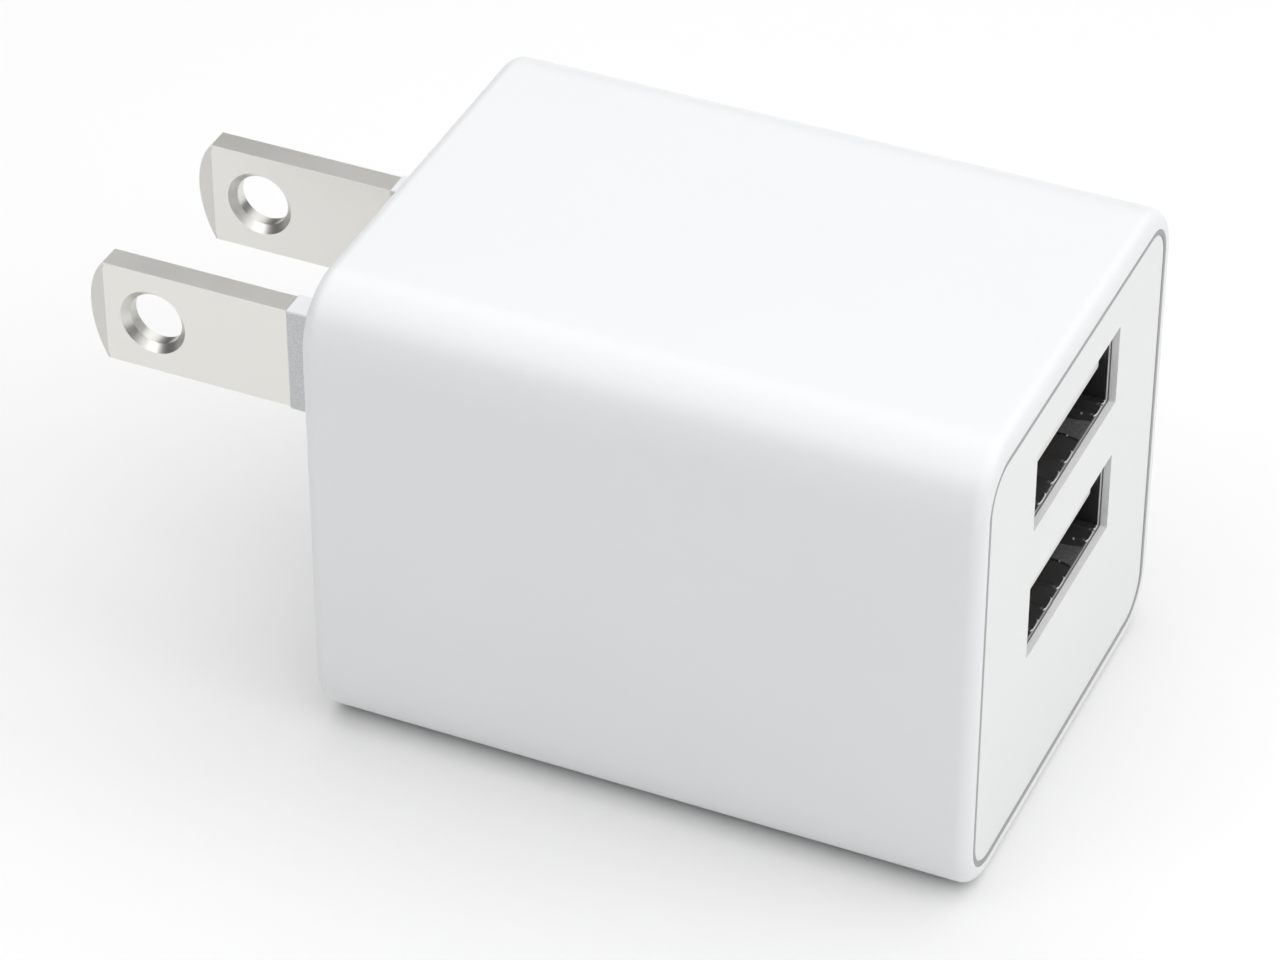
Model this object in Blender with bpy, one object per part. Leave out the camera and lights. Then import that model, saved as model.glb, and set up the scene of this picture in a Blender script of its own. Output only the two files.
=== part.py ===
"""A two-port USB wall charger, made of its separate pieces.

Lengths are in millimetres and become metres as each mesh is made.
+X points out of the ports, -X along the plug blades and +Z is up.
The origin is at the middle of the footprint, on the surface the charger lies on.
"""

import math

import bmesh
import bpy

# ---------------------------------------------------------------- driving dimensions

MM = 0.001
GAP = 0.3  # clearance between two pieces that touch on the real charger
CORNER_STEPS = 6  # facets in each rounded corner

BODY_SIDE = 28.6  # height and width of the housing
BODY_LENGTH = 38.2
BODY_CORNER = 3.7
BODY_EDGE = 0.8  # rounding of the edges at both ends
SIDE_WALL = 1.6
BACK_WALL = 2.0
RIB_WIDTH = 1.0  # ribs on the side walls that hold the edges of the main board
RIB_END = 10.0
UPRIGHT_RIB = (8.0, 24.6)  # height of the ribs that hold the USB board

PANEL_SIDE = 25.8
PANEL_CORNER = 2.15
PANEL_THICKNESS = 1.5
PANEL_RECESS = 0.05
SKIRT_LENGTH = 2.8
SKIRT_WALL = 1.0

PORT_WIDTH = 12.45
PORT_HEIGHT = 4.95
PORT_LIP = 0.4  # thickness of the panel in front of a shell
PORT_OFFSETS = {"upper": 7.8, "lower": -0.6}  # from the middle of the panel

BLADE_REACH = 16.9
BLADE_SPACING = 12.7
BLADE_RISE = 4.45  # height of the blades over the middle of the housing
BLADE_WIDTH = 6.35
BLADE_THICKNESS = 1.5
BLADE_TIP_ARC = 1.15
BLADE_TIP_BEVEL = 0.45
BLADE_HOLE_FROM_TIP = 4.0
BLADE_HOLE = 3.0
BLADE_COUNTERSINK = 4.0
BLADE_TAIL = 4.0  # how far a blade reaches past the inside of the back wall

SLEEVE_OUT = 4.47  # how far a sleeve stands out of the housing
SLEEVE_OVER_BLADE = 0.12
SLEEVE_WALL = 0.3
NECK_CLEARANCE = 0.12  # between a blade's neck and the inside of its sleeve
RETAINER_THICKNESS = 1.75
RETAINER_HALF_WIDTH = 10.0
RETAINER_HALF_HEIGHT = 4.4

SHELL_WALL = 0.3
SHELL_INNER_WIDTH = 12.2
SHELL_INNER_HEIGHT = 4.75
SHELL_SETBACK = 0.45  # from the panel's face to the front of a shell
TONGUE_THICKNESS = 1.84
TONGUE_RISE = 0.04  # from the middle of a port to the underside of its tongue
TONGUE_HALF_WIDTH = 5.55
TONGUE_SETBACK = 0.87  # from the panel's face
TONGUE_BAR = 0.6  # uncut strip at the tip of a tongue
SLOT_DEPTH = 1.1  # room over each contact, for it to spring
LINER_THICKNESS = 0.15
LINER_HALF_WIDTH = 5.7
LINER_GAP = 0.05
CONTACT_PLACES = (-3.5, -1.0, 1.0, 3.5)
CONTACT_WIDTH = 0.9
CONTACT_THICKNESS = 0.25

BOARD_THICKNESS = 1.2
USB_BOARD_FRONT = 13.3
MAIN_BOARD_TOP = 5.8

# ---------------------------------------------------------------- places worked out from them

FRONT = (BODY_LENGTH + BLADE_REACH) / 2
BACK = FRONT - BODY_LENGTH
TIP = BACK - BLADE_REACH
MIDDLE = BODY_SIDE / 2  # height of the housing's axis
CAVITY_HALF = MIDDLE - SIDE_WALL
CAVITY_BACK = BACK + BACK_WALL
CAVITY_CORNER = BODY_CORNER - SIDE_WALL
PANEL_FRONT = FRONT - PANEL_RECESS
PANEL_BACK = PANEL_FRONT - PANEL_THICKNESS
SEAT = PANEL_BACK - GAP  # ledge in the housing that the panel rests on
BLADE_Z = MIDDLE + BLADE_RISE
BLADE_Y = BLADE_SPACING / 2
SLEEVE_END = BACK - SLEEVE_OUT
SLEEVE_START = CAVITY_BACK - GAP
SLEEVE_HALF_THICKNESS = BLADE_THICKNESS / 2 + SLEEVE_OVER_BLADE
SLEEVE_HALF_WIDTH = BLADE_WIDTH / 2 + SLEEVE_OVER_BLADE
NECK_HALF_THICKNESS = SLEEVE_HALF_THICKNESS - SLEEVE_WALL - NECK_CLEARANCE
NECK_HALF_WIDTH = SLEEVE_HALF_WIDTH - SLEEVE_WALL - NECK_CLEARANCE
SHELL_FRONT = PANEL_FRONT - SHELL_SETBACK
BLOCK_BACK = USB_BOARD_FRONT + GAP
BLOCK_FRONT = BLOCK_BACK + 4.6
TONGUE_TIP = PANEL_FRONT - TONGUE_SETBACK
HINGE_X = BLOCK_FRONT + 0.1  # where each contact starts to bend
HINGE_RISE = 0.35  # over the middle of its port
BOARD_BOTTOM = MAIN_BOARD_TOP - BOARD_THICKNESS
FOOT = MAIN_BOARD_TOP + GAP  # where the tall parts stand

# ---------------------------------------------------------------- shape tools


def axis_point(axis, along, u, v):
    """A point from its distance along an axis and the two coordinates across it."""
    return {"X": (along, u, v), "Y": (u, along, v), "Z": (u, v, along)}[axis]


def add_ring(bm, axis, along, half_u, half_v, radius, centre):
    """A rounded rectangle across an axis. It is a circle where the radius equals both halves."""
    corners = ((1, 1, 0), (-1, 1, 90), (-1, -1, 180), (1, -1, 270))
    ring = []
    for sign_u, sign_v, start in corners:
        for step in range(CORNER_STEPS + 1):
            angle = math.radians(start + 90 * step / CORNER_STEPS)
            u = centre[0] + sign_u * (half_u - radius) + radius * math.cos(angle)
            v = centre[1] + sign_v * (half_v - radius) + radius * math.sin(angle)
            point = axis_point(axis, along, u, v)
            ring.append(bm.verts.new([value * MM for value in point]))
    return ring


def bridge(bm, first, second):
    """Side faces between two rings of equally many points."""
    for index in range(len(first)):
        after = (index + 1) % len(first)
        bm.faces.new((first[index], first[after], second[after], second[index]))


def tidy(bm):
    """Merge points that coincide and turn all faces outward."""
    bmesh.ops.remove_doubles(bm, verts=bm.verts, dist=1e-7)
    bmesh.ops.dissolve_degenerate(bm, edges=bm.edges, dist=1e-8)
    bmesh.ops.recalc_face_normals(bm, faces=bm.faces)
    return bm


def loft(stations, centre, axis="X", tube=False):
    """A solid through rings of (along, half_u, half_v, radius), with capped ends or closed into a tube."""
    bm = bmesh.new()
    rings = [add_ring(bm, axis, *station, centre) for station in stations]
    for first, second in zip(rings, rings[1:]):
        bridge(bm, first, second)
    if tube:
        bridge(bm, rings[-1], rings[0])
    else:
        bm.faces.new(rings[0])
        bm.faces.new(rings[-1])
    return tidy(bm)


def tube(along, outer, inner, centre, axis="X"):
    """A straight tube between two places, from its outer and inner (half_u, half_v, radius)."""
    low, high = along
    stations = ((low, *outer), (high, *outer), (high, *inner), (low, *inner))
    return loft(stations, centre, axis, tube=True)


def turned(profile, centre, axis="Z"):
    """A solid of revolution through (along, radius) pairs."""
    return loft([(along, r, r, r) for along, r in profile], centre, axis)


def box(x_range, y_range, z_range):
    """A plain block."""
    bm = bmesh.new()
    bmesh.ops.create_cube(bm, size=1.0)
    for vert in bm.verts:
        for index, (low, high) in enumerate((x_range, y_range, z_range)):
            vert.co[index] = (low if vert.co[index] < 0 else high) * MM
    return bm


def layered(layers):
    """A solid through outlines of (x, z) points, one at each place along Y."""
    bm = bmesh.new()
    rings = []
    for y, outline in layers:
        rings.append([bm.verts.new((x * MM, y * MM, z * MM)) for x, z in outline])
    for first, second in zip(rings, rings[1:]):
        bridge(bm, first, second)
    bm.faces.new(rings[0])
    bm.faces.new(rings[-1])
    return tidy(bm)


def plate(outline, y_middle, thickness):
    """An outline of (x, z) points, made solid along Y."""
    half = thickness / 2
    return layered(((y_middle - half, outline), (y_middle + half, outline)))


def strip_outline(points, thickness):
    """The outline of a thin strip that follows points (x, z)."""
    sides = ([], [])
    for index, (x, z) in enumerate(points):
        before = points[max(index - 1, 0)]
        after = points[min(index + 1, len(points) - 1)]
        length = math.dist(before, after)
        normal = ((before[1] - after[1]) / length, (after[0] - before[0]) / length)
        for side, sign in zip(sides, (1, -1)):
            offset = sign * thickness / 2
            side.append((x + offset * normal[0], z + offset * normal[1]))
    return sides[0] + sides[1][::-1]


def scratch_object(bm):
    """A short-lived object, for a Boolean."""
    mesh = bpy.data.meshes.new("scratch")
    bm.to_mesh(mesh)
    bm.free()
    result = bpy.data.objects.new("scratch", mesh)
    bpy.context.collection.objects.link(result)
    return result


def combine(bm, other, operation):
    """Join another closed shape to this one, or take it away."""
    target = scratch_object(bm)
    tool = scratch_object(other)
    modifier = target.modifiers.new("combine", "BOOLEAN")
    modifier.operation = operation
    modifier.object = tool
    depsgraph = bpy.context.evaluated_depsgraph_get()
    evaluated = target.evaluated_get(depsgraph)
    result = bmesh.new()
    result.from_mesh(evaluated.to_mesh())
    for used in (target, tool):
        mesh = used.data
        bpy.data.objects.remove(used)
        bpy.data.meshes.remove(mesh)
    return result


def cut(bm, other):
    return combine(bm, other, "DIFFERENCE")


def join(bm, other):
    return combine(bm, other, "UNION")


def material(name, colour, roughness, metallic):
    """One Principled BSDF material."""
    result = bpy.data.materials.new(name)
    result.use_nodes = True
    shader = result.node_tree.nodes["Principled BSDF"]
    shader.inputs["Base Color"].default_value = (*colour, 1.0)
    shader.inputs["Roughness"].default_value = roughness
    shader.inputs["Metallic"].default_value = metallic
    result.diffuse_color = (*colour, 1.0)
    return result


def place(name, bm, colour, roughness=0.5, metallic=0.0, origin=(0.0, 0.0, 0.0)):
    """Make a named piece of a shape, with its origin at a point in millimetres."""
    offset = [value * MM for value in origin]
    bmesh.ops.translate(bm, verts=bm.verts, vec=[-value for value in offset])
    mesh = bpy.data.meshes.new(name)
    bm.to_mesh(mesh)
    bm.free()
    mesh.shade_smooth()
    mesh.set_sharp_from_angle(angle=math.radians(35))
    mesh.materials.append(material(name + "_finish", colour, roughness, metallic))
    piece = bpy.data.objects.new(name, mesh)
    piece.location = offset
    bpy.context.collection.objects.link(piece)
    return piece


# ---------------------------------------------------------------- casing

WHITE_PLASTIC = (0.86, 0.86, 0.85)
NICKEL = (0.78, 0.77, 0.74)
BLACK_PLASTIC = (0.02, 0.02, 0.02)


def end_rounding(x_end, inward):
    """Rings of the rounded outer edge at one end, from the end face to the side walls."""
    stations = []
    for step in range(4):
        angle = math.radians(90 - 30 * step)
        inset = BODY_EDGE * (1 - math.cos(angle))
        x = x_end + inward * BODY_EDGE * (1 - math.sin(angle))
        half = MIDDLE - inset
        stations.append((x, half, half, BODY_CORNER - inset))
    return stations


def housing():
    """The square cup: closed at the plug end, with a seat for the panel at the port end."""
    mouth_half = PANEL_SIDE / 2 + GAP
    mouth_corner = PANEL_CORNER + GAP
    stations = end_rounding(BACK, 1) + end_rounding(FRONT, -1)[::-1]
    stations += [
        (FRONT, mouth_half, mouth_half, mouth_corner),
        (SEAT, mouth_half, mouth_half, mouth_corner),
        (SEAT, CAVITY_HALF, CAVITY_HALF, CAVITY_CORNER),
        (CAVITY_BACK, CAVITY_HALF, CAVITY_HALF, CAVITY_CORNER),
    ]
    shape = loft(stations, (0, MIDDLE))
    for side in (-1, 1):
        y = side * BLADE_Y
        half_y = SLEEVE_HALF_THICKNESS + GAP
        half_z = SLEEVE_HALF_WIDTH + GAP
        slot_x = (BACK - 1, CAVITY_BACK + 1)
        shape = cut(shape, box(slot_x, (y - half_y, y + half_y), (BLADE_Z - half_z, BLADE_Z + half_z)))
        rib_y = sorted((side * (CAVITY_HALF - 0.8), side * (CAVITY_HALF + 0.5)))
        ahead = USB_BOARD_FRONT + GAP
        behind = USB_BOARD_FRONT - BOARD_THICKNESS - GAP
        under = BOARD_BOTTOM - GAP
        for rib_x, rib_z in (
            ((CAVITY_BACK - 0.5, RIB_END), (under - RIB_WIDTH, under)),
            ((CAVITY_BACK - 0.5, RIB_END), (FOOT, FOOT + RIB_WIDTH)),
            ((ahead, ahead + 0.8), UPRIGHT_RIB),
            ((behind - 0.8, behind), UPRIGHT_RIB),
        ):
            shape = join(shape, box(rib_x, rib_y, rib_z))
    place("housing", shape, WHITE_PLASTIC, 0.32)


def front_panel():
    """The flush end panel: two port openings, pockets for the shells and a skirt."""
    half = PANEL_SIDE / 2
    skirt_half = CAVITY_HALF - GAP
    skirt_corner = CAVITY_CORNER - GAP
    inner_half = skirt_half - SKIRT_WALL
    inner_corner = skirt_corner - SKIRT_WALL
    stations = (
        (PANEL_FRONT, half, half, PANEL_CORNER),
        (PANEL_BACK, half, half, PANEL_CORNER),
        (PANEL_BACK, skirt_half, skirt_half, skirt_corner),
        (PANEL_BACK - SKIRT_LENGTH, skirt_half, skirt_half, skirt_corner),
        (PANEL_BACK - SKIRT_LENGTH, inner_half, inner_half, inner_corner),
        (PANEL_BACK, inner_half, inner_half, inner_corner),
    )
    shape = loft(stations, (0, MIDDLE))
    pocket_half_y = SHELL_INNER_WIDTH / 2 + SHELL_WALL + GAP
    pocket_half_z = SHELL_INNER_HEIGHT / 2 + SHELL_WALL + GAP
    for offset in PORT_OFFSETS.values():
        z = MIDDLE + offset
        half_y = PORT_WIDTH / 2
        half_z = PORT_HEIGHT / 2
        mouth = box((PANEL_BACK - 1, PANEL_FRONT + 1), (-half_y, half_y), (z - half_z, z + half_z))
        pocket = box(
            (PANEL_BACK - 1, PANEL_FRONT - PORT_LIP),
            (-pocket_half_y, pocket_half_y),
            (z - pocket_half_z, z + pocket_half_z),
        )
        shape = cut(cut(shape, mouth), pocket)
    place("front_panel", shape, WHITE_PLASTIC, 0.4)


# ---------------------------------------------------------------- plug blades


def blade_outline(root_x, tip_x, arc):
    """A blade's (x, z) outline, whose tip bulges by arc from its straight end."""
    half = BLADE_WIDTH / 2
    steps = 12
    outline = [(root_x, BLADE_Z + half), (root_x, BLADE_Z - half)]
    for step in range(steps + 1):
        z = half * (2 * step / steps - 1)
        bulge = 0.0
        if arc:
            radius = (half**2 + arc**2) / (2 * arc)
            bulge = math.sqrt(radius**2 - z**2) - (radius - arc)
        outline.append((tip_x - bulge, BLADE_Z + z))
    return outline


def blade(name, y):
    """A contact blade with a bevelled tip, a countersunk hole, and a thinner neck behind it."""
    half = BLADE_THICKNESS / 2
    straight_end = TIP + BLADE_TIP_ARC
    root = SLEEVE_END - GAP
    flat = blade_outline(root, straight_end, 0.0)
    full = blade_outline(root, straight_end, BLADE_TIP_ARC)
    bevel_y = half - BLADE_TIP_BEVEL
    shape = layered(((y - half, flat), (y - bevel_y, full), (y + bevel_y, full), (y + half, flat)))
    neck = box(
        (root - 0.5, CAVITY_BACK + BLADE_TAIL),
        (y - NECK_HALF_THICKNESS, y + NECK_HALF_THICKNESS),
        (BLADE_Z - NECK_HALF_WIDTH, BLADE_Z + NECK_HALF_WIDTH),
    )
    shape = join(shape, neck)
    narrow = BLADE_HOLE / 2
    wide = BLADE_COUNTERSINK / 2
    sink = wide - narrow
    profile = (
        (y - half - 0.5, wide + 0.5),
        (y - half + sink, narrow),
        (y + half - sink, narrow),
        (y + half + 0.5, wide + 0.5),
    )
    hole_x = TIP + BLADE_HOLE_FROM_TIP
    shape = cut(shape, turned(profile, (hole_x, BLADE_Z), "Y"))
    place(name, shape, NICKEL, 0.28, 1.0)


def blade_sleeve(name, y):
    """The moulded insulating tube around the root of a blade."""
    outer = (SLEEVE_HALF_THICKNESS, SLEEVE_HALF_WIDTH, 0.3)
    inner = (SLEEVE_HALF_THICKNESS - SLEEVE_WALL, SLEEVE_HALF_WIDTH - SLEEVE_WALL, 0.05)
    shape = tube((SLEEVE_END, SLEEVE_START), outer, inner, (y, BLADE_Z))
    place(name, shape, (0.6, 0.6, 0.58), 0.7)


def blade_retainer():
    """The plate behind the back wall that keeps both blades square."""
    x_range = (CAVITY_BACK + GAP, CAVITY_BACK + GAP + RETAINER_THICKNESS)
    z_range = (BLADE_Z - RETAINER_HALF_HEIGHT, BLADE_Z + RETAINER_HALF_HEIGHT)
    shape = box(x_range, (-RETAINER_HALF_WIDTH, RETAINER_HALF_WIDTH), z_range)
    for side in (-1, 1):
        y = side * BLADE_Y
        half_y = NECK_HALF_THICKNESS + GAP
        half_z = NECK_HALF_WIDTH + GAP
        slot_x = (x_range[0] - 1, x_range[1] + 1)
        slot = box(slot_x, (y - half_y, y + half_y), (BLADE_Z - half_z, BLADE_Z + half_z))
        shape = cut(shape, slot)
    place("blade_retainer", shape, (0.75, 0.75, 0.72), 0.6)


# ---------------------------------------------------------------- USB ports


def port_shell(name, z):
    """The drawn steel shell of one port."""
    half_y = SHELL_INNER_WIDTH / 2
    half_z = SHELL_INNER_HEIGHT / 2
    outer = (half_y + SHELL_WALL, half_z + SHELL_WALL, 0.5)
    inner = (half_y, half_z, 0.2)
    place(name, tube((BLOCK_BACK, SHELL_FRONT), outer, inner, (0, z)), NICKEL, 0.3, 1.0)


def port_insulator(name, z):
    """The moulding inside a port: a rear block with a tongue, slotted underneath for four contacts."""
    half_y = SHELL_INNER_WIDTH / 2 - GAP
    half_z = SHELL_INNER_HEIGHT / 2 - GAP
    underside = z + TONGUE_RISE
    shape = box((BLOCK_BACK, BLOCK_FRONT), (-half_y, half_y), (z - half_z, z + half_z))
    tongue_y = (-TONGUE_HALF_WIDTH, TONGUE_HALF_WIDTH)
    tongue_z = (underside, underside + TONGUE_THICKNESS)
    shape = join(shape, box((BLOCK_FRONT - 0.5, TONGUE_TIP), tongue_y, tongue_z))
    for y in CONTACT_PLACES:
        half = CONTACT_WIDTH / 2 + GAP
        slot_x = (BLOCK_BACK - 1, TONGUE_TIP - TONGUE_BAR)
        slot_z = (underside - 0.45, underside + SLOT_DEPTH)
        shape = cut(shape, box(slot_x, (y - half, y + half), slot_z))
    place(name, shape, WHITE_PLASTIC, 0.5)


def port_liner(name, z):
    """The thin dark floor of a port, which the plug's nose slides on."""
    floor = z - SHELL_INNER_HEIGHT / 2 + LINER_GAP
    x_range = (BLOCK_FRONT + GAP, SHELL_FRONT - LINER_GAP)
    y_range = (-LINER_HALF_WIDTH, LINER_HALF_WIDTH)
    place(name, box(x_range, y_range, (floor, floor + LINER_THICKNESS)), BLACK_PLASTIC, 0.4)


def spring_contact(name, y, z):
    """The springing front part of one contact, whose origin is where it bends."""
    bend_z = z + HINGE_RISE
    path = (
        (HINGE_X, bend_z),
        (HINGE_X + 2.6, bend_z - 0.05),
        (HINGE_X + 4.6, bend_z - 0.4),
        (HINGE_X + 5.4, bend_z - 0.6),
        (HINGE_X + 6.0, bend_z - 0.57),
        (HINGE_X + 6.6, bend_z - 0.2),
        (HINGE_X + 6.9, bend_z + 0.05),
    )
    shape = plate(strip_outline(path, CONTACT_THICKNESS), y, CONTACT_WIDTH)
    place(name, shape, (0.83, 0.68, 0.36), 0.25, 1.0, origin=(HINGE_X, y, bend_z))


def contact_tail(name, y, z):
    """The fixed rear part of one contact, held by the rear block."""
    half_y = CONTACT_WIDTH / 2
    half_z = CONTACT_THICKNESS / 2
    middle = z + HINGE_RISE
    shape = box((BLOCK_BACK, HINGE_X - GAP), (y - half_y, y + half_y), (middle - half_z, middle + half_z))
    place(name, shape, (0.83, 0.68, 0.36), 0.25, 1.0)


def ports():
    """Both USB ports, each with a shell, an insulator, a liner and four contacts."""
    for level, offset in PORT_OFFSETS.items():
        z = MIDDLE + offset
        port_shell(f"port_{level}_shell", z)
        port_insulator(f"port_{level}_insulator", z)
        port_liner(f"port_{level}_liner", z)
        for number, y in enumerate(CONTACT_PLACES, start=1):
            spring_contact(f"port_{level}_contact_{number}", y, z)
            contact_tail(f"port_{level}_tail_{number}", y, z)


# ---------------------------------------------------------------- circuit boards and what they carry

GREEN_BOARD = (0.05, 0.22, 0.09)
CHIP_BLACK = (0.03, 0.03, 0.03)
CAN_SLEEVE = (0.05, 0.06, 0.09)
FERRITE = (0.09, 0.09, 0.1)
TINNED = (0.75, 0.75, 0.72)


def boards():
    """The main board lies low; the USB board stands behind the ports."""
    half = CAVITY_HALF - 0.4
    main = box((CAVITY_BACK + 0.7, 11.5), (-half, half), (BOARD_BOTTOM, MAIN_BOARD_TOP))
    place("main_board", main, GREEN_BOARD, 0.5)
    upright = box((USB_BOARD_FRONT - BOARD_THICKNESS, USB_BOARD_FRONT), (-half, half), (6.4, 26.0))
    place("usb_board", upright, GREEN_BOARD, 0.5)
    sheet = box((11.15, 11.4), (-11.5, 11.5), (9.2, 26.0))
    place("insulation_sheet", sheet, (0.8, 0.75, 0.55), 0.6)
    for number, y in enumerate((-2.4, -0.8, 0.8, 2.4), start=1):
        outline = ((10.4, FOOT), (11.0, FOOT), (11.0, 7.8), (11.8, 7.8), (11.8, 8.4), (10.4, 8.4))
        place(f"board_link_{number}", plate(outline, y, 0.64), TINNED, 0.35, 1.0)


def transformer():
    """Two ferrite halves around a bobbin and its taped winding."""
    x, y = 3.8, 0.8
    half_length, half_depth = 6.1, 2.5
    core_height, back_height = 6.2, 2.2
    outer_leg, half_leg = 2.2, 1.8
    height = 2 * core_height + GAP
    for name, base, up in (("lower", FOOT, 1), ("upper", FOOT + height, -1)):
        inner = half_length - outer_leg
        outline = []
        for leg_x, level in (
            (-half_length, 0), (-half_length, core_height), (-inner, core_height), (-inner, back_height),
            (-half_leg, back_height), (-half_leg, core_height), (half_leg, core_height), (half_leg, back_height),
            (inner, back_height), (inner, core_height), (half_length, core_height), (half_length, 0),
        ):
            outline.append((x + leg_x, base + up * level))
        place(f"transformer_core_{name}", plate(outline, y, 2 * half_depth), FERRITE, 0.6)
    middle = FOOT + height / 2
    half_window = height / 2 - back_height - GAP
    bore = (half_leg + GAP, half_depth + GAP, 0.1)
    barrel = (half_leg + GAP + 0.5, half_depth + GAP + 0.5, 0.3)
    flange = (half_length - outer_leg - GAP, 5.0, 0.6)
    flange_inner = half_window - 0.6
    stations = (
        (middle - half_window, *bore), (middle - half_window, *flange), (middle - flange_inner, *flange),
        (middle - flange_inner, *barrel), (middle + flange_inner, *barrel), (middle + flange_inner, *flange),
        (middle + half_window, *flange), (middle + half_window, *bore),
    )
    place("transformer_bobbin", loft(stations, (x, y), "Z", tube=True), (0.08, 0.07, 0.06), 0.5)
    coil = (flange[0] - 0.05, flange[1] - 0.1, 0.8)
    coil_bore = (barrel[0] + GAP, barrel[1] + GAP, 0.3)
    coil_height = (middle - flange_inner + GAP, middle + flange_inner - GAP)
    place("transformer_winding", tube(coil_height, coil, coil_bore, (x, y), "Z"), (0.85, 0.7, 0.1), 0.45)


def can(name, x, y, radius, height, colour):
    """An electrolytic can, with the rolled groove near its foot."""
    foot = FOOT
    profile = (
        (foot, radius - 0.4), (foot + 0.3, radius), (foot + 1.0, radius), (foot + 1.3, radius - 0.3),
        (foot + 1.6, radius), (foot + height - 0.4, radius), (foot + height, radius - 0.4),
    )
    place(name, turned(profile, (x, y)), colour, 0.35)


def tall_components():
    """Round parts that stand or lie on the main board."""
    can("bulk_capacitor_1", 6.9, -8.2, 3.4, 11.4, CAN_SLEEVE)
    can("bulk_capacitor_2", -0.8, -8.2, 3.4, 11.4, CAN_SLEEVE)
    can("output_capacitor_1", 7.4, 9.0, 2.6, 8.0, (0.7, 0.7, 0.72))
    can("output_capacitor_2", 1.4, 9.0, 2.6, 8.0, (0.7, 0.7, 0.72))
    drum = (
        (FOOT, 2.4), (FOOT + 1.0, 2.4), (FOOT + 1.2, 2.0),
        (FOOT + 5.4, 2.0), (FOOT + 5.6, 2.4), (FOOT + 6.6, 2.4),
    )
    place("input_inductor", turned(drum, (-4.6, 9.0)), FERRITE, 0.6)
    body = (
        (-9.9, 0.9), (-9.6, 1.3), (-8.6, 1.3), (-8.3, 1.1),
        (-4.6, 1.1), (-4.3, 1.3), (-3.3, 1.3), (-3.0, 0.9),
    )
    place("fusible_resistor", turned(body, (-6.4, FOOT + 1.6), "Y"), (0.3, 0.42, 0.36), 0.5)
    disc = ((-6.1, 2.4), (-5.7, 3.3), (-5.0, 3.5), (-4.2, 3.5), (-3.5, 3.3), (-3.1, 2.4))
    place("y_capacitor", turned(disc, (2.0, FOOT + 4.1), "X"), (0.05, 0.25, 0.6), 0.4)


def chips():
    """Flat packages under the main board, and one on the USB board."""
    package = (BOARD_BOTTOM - GAP - 1.7, BOARD_BOTTOM - GAP)
    under_board = {
        "bridge_rectifier": ((-6.9, -2.2), (-8.4, -3.4)),
        "controller_chip": ((-0.8, 4.1), (-3.4, 0.5)),
        "optocoupler": ((-0.8, 3.8), (4.2, 10.2)),
        "output_rectifier": ((5.2, 9.8), (5.0, 9.2)),
    }
    for name, (x_range, y_range) in under_board.items():
        place(name, box(x_range, y_range, package), CHIP_BLACK, 0.5)
    port_chip = box((USB_BOARD_FRONT + GAP, USB_BOARD_FRONT + GAP + 1.4), (-2.5, 2.5), (7.0, 10.0))
    place("port_controller_chip", port_chip, CHIP_BLACK, 0.5)


def lead(name, points, colour):
    """An insulated wire through hand-chosen points."""
    curve = bpy.data.curves.new(name, "CURVE")
    curve.dimensions = "3D"
    curve.bevel_depth = 0.55 * MM
    curve.bevel_resolution = 2
    curve.use_fill_caps = True
    spline = curve.splines.new("POLY")
    spline.points.add(len(points) - 1)
    for point, position in zip(spline.points, points):
        point.co = (*[value * MM for value in position], 1.0)
    curve.materials.append(material(name + "_finish", colour, 0.5, 0.0))
    bpy.context.collection.objects.link(bpy.data.objects.new(name, curve))


def leads():
    """Wires from the tails of the blades to the main board."""
    start_z = BLADE_Z - NECK_HALF_WIDTH - GAP - 0.1
    live = (
        (-5.4, -BLADE_Y, start_z), (-5.5, -6.8, 14.0), (-6.0, -8.6, 12.2),
        (-6.3, -10.3, 10.4), (-6.4, -11.0, 8.6), (-6.4, -11.0, FOOT),
    )
    neutral = (
        (-5.4, BLADE_Y, start_z), (-5.5, 6.2, 14.0), (-6.3, 5.8, 12.6),
        (-7.1, 5.2, 11.0), (-7.3, 4.9, 9.0), (-7.3, 4.9, FOOT),
    )
    lead("live_lead", live, (0.05, 0.05, 0.05))
    lead("neutral_lead", neutral, (0.8, 0.8, 0.78))


# ---------------------------------------------------------------- the whole charger

for leftover in list(bpy.data.objects):
    bpy.data.objects.remove(leftover)

housing()
front_panel()
for position, y_place in (("near", -BLADE_Y), ("far", BLADE_Y)):
    blade(f"blade_{position}", y_place)
    blade_sleeve(f"blade_sleeve_{position}", y_place)
blade_retainer()
ports()
boards()
transformer()
tall_components()
chips()
leads()
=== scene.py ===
import math

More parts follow.
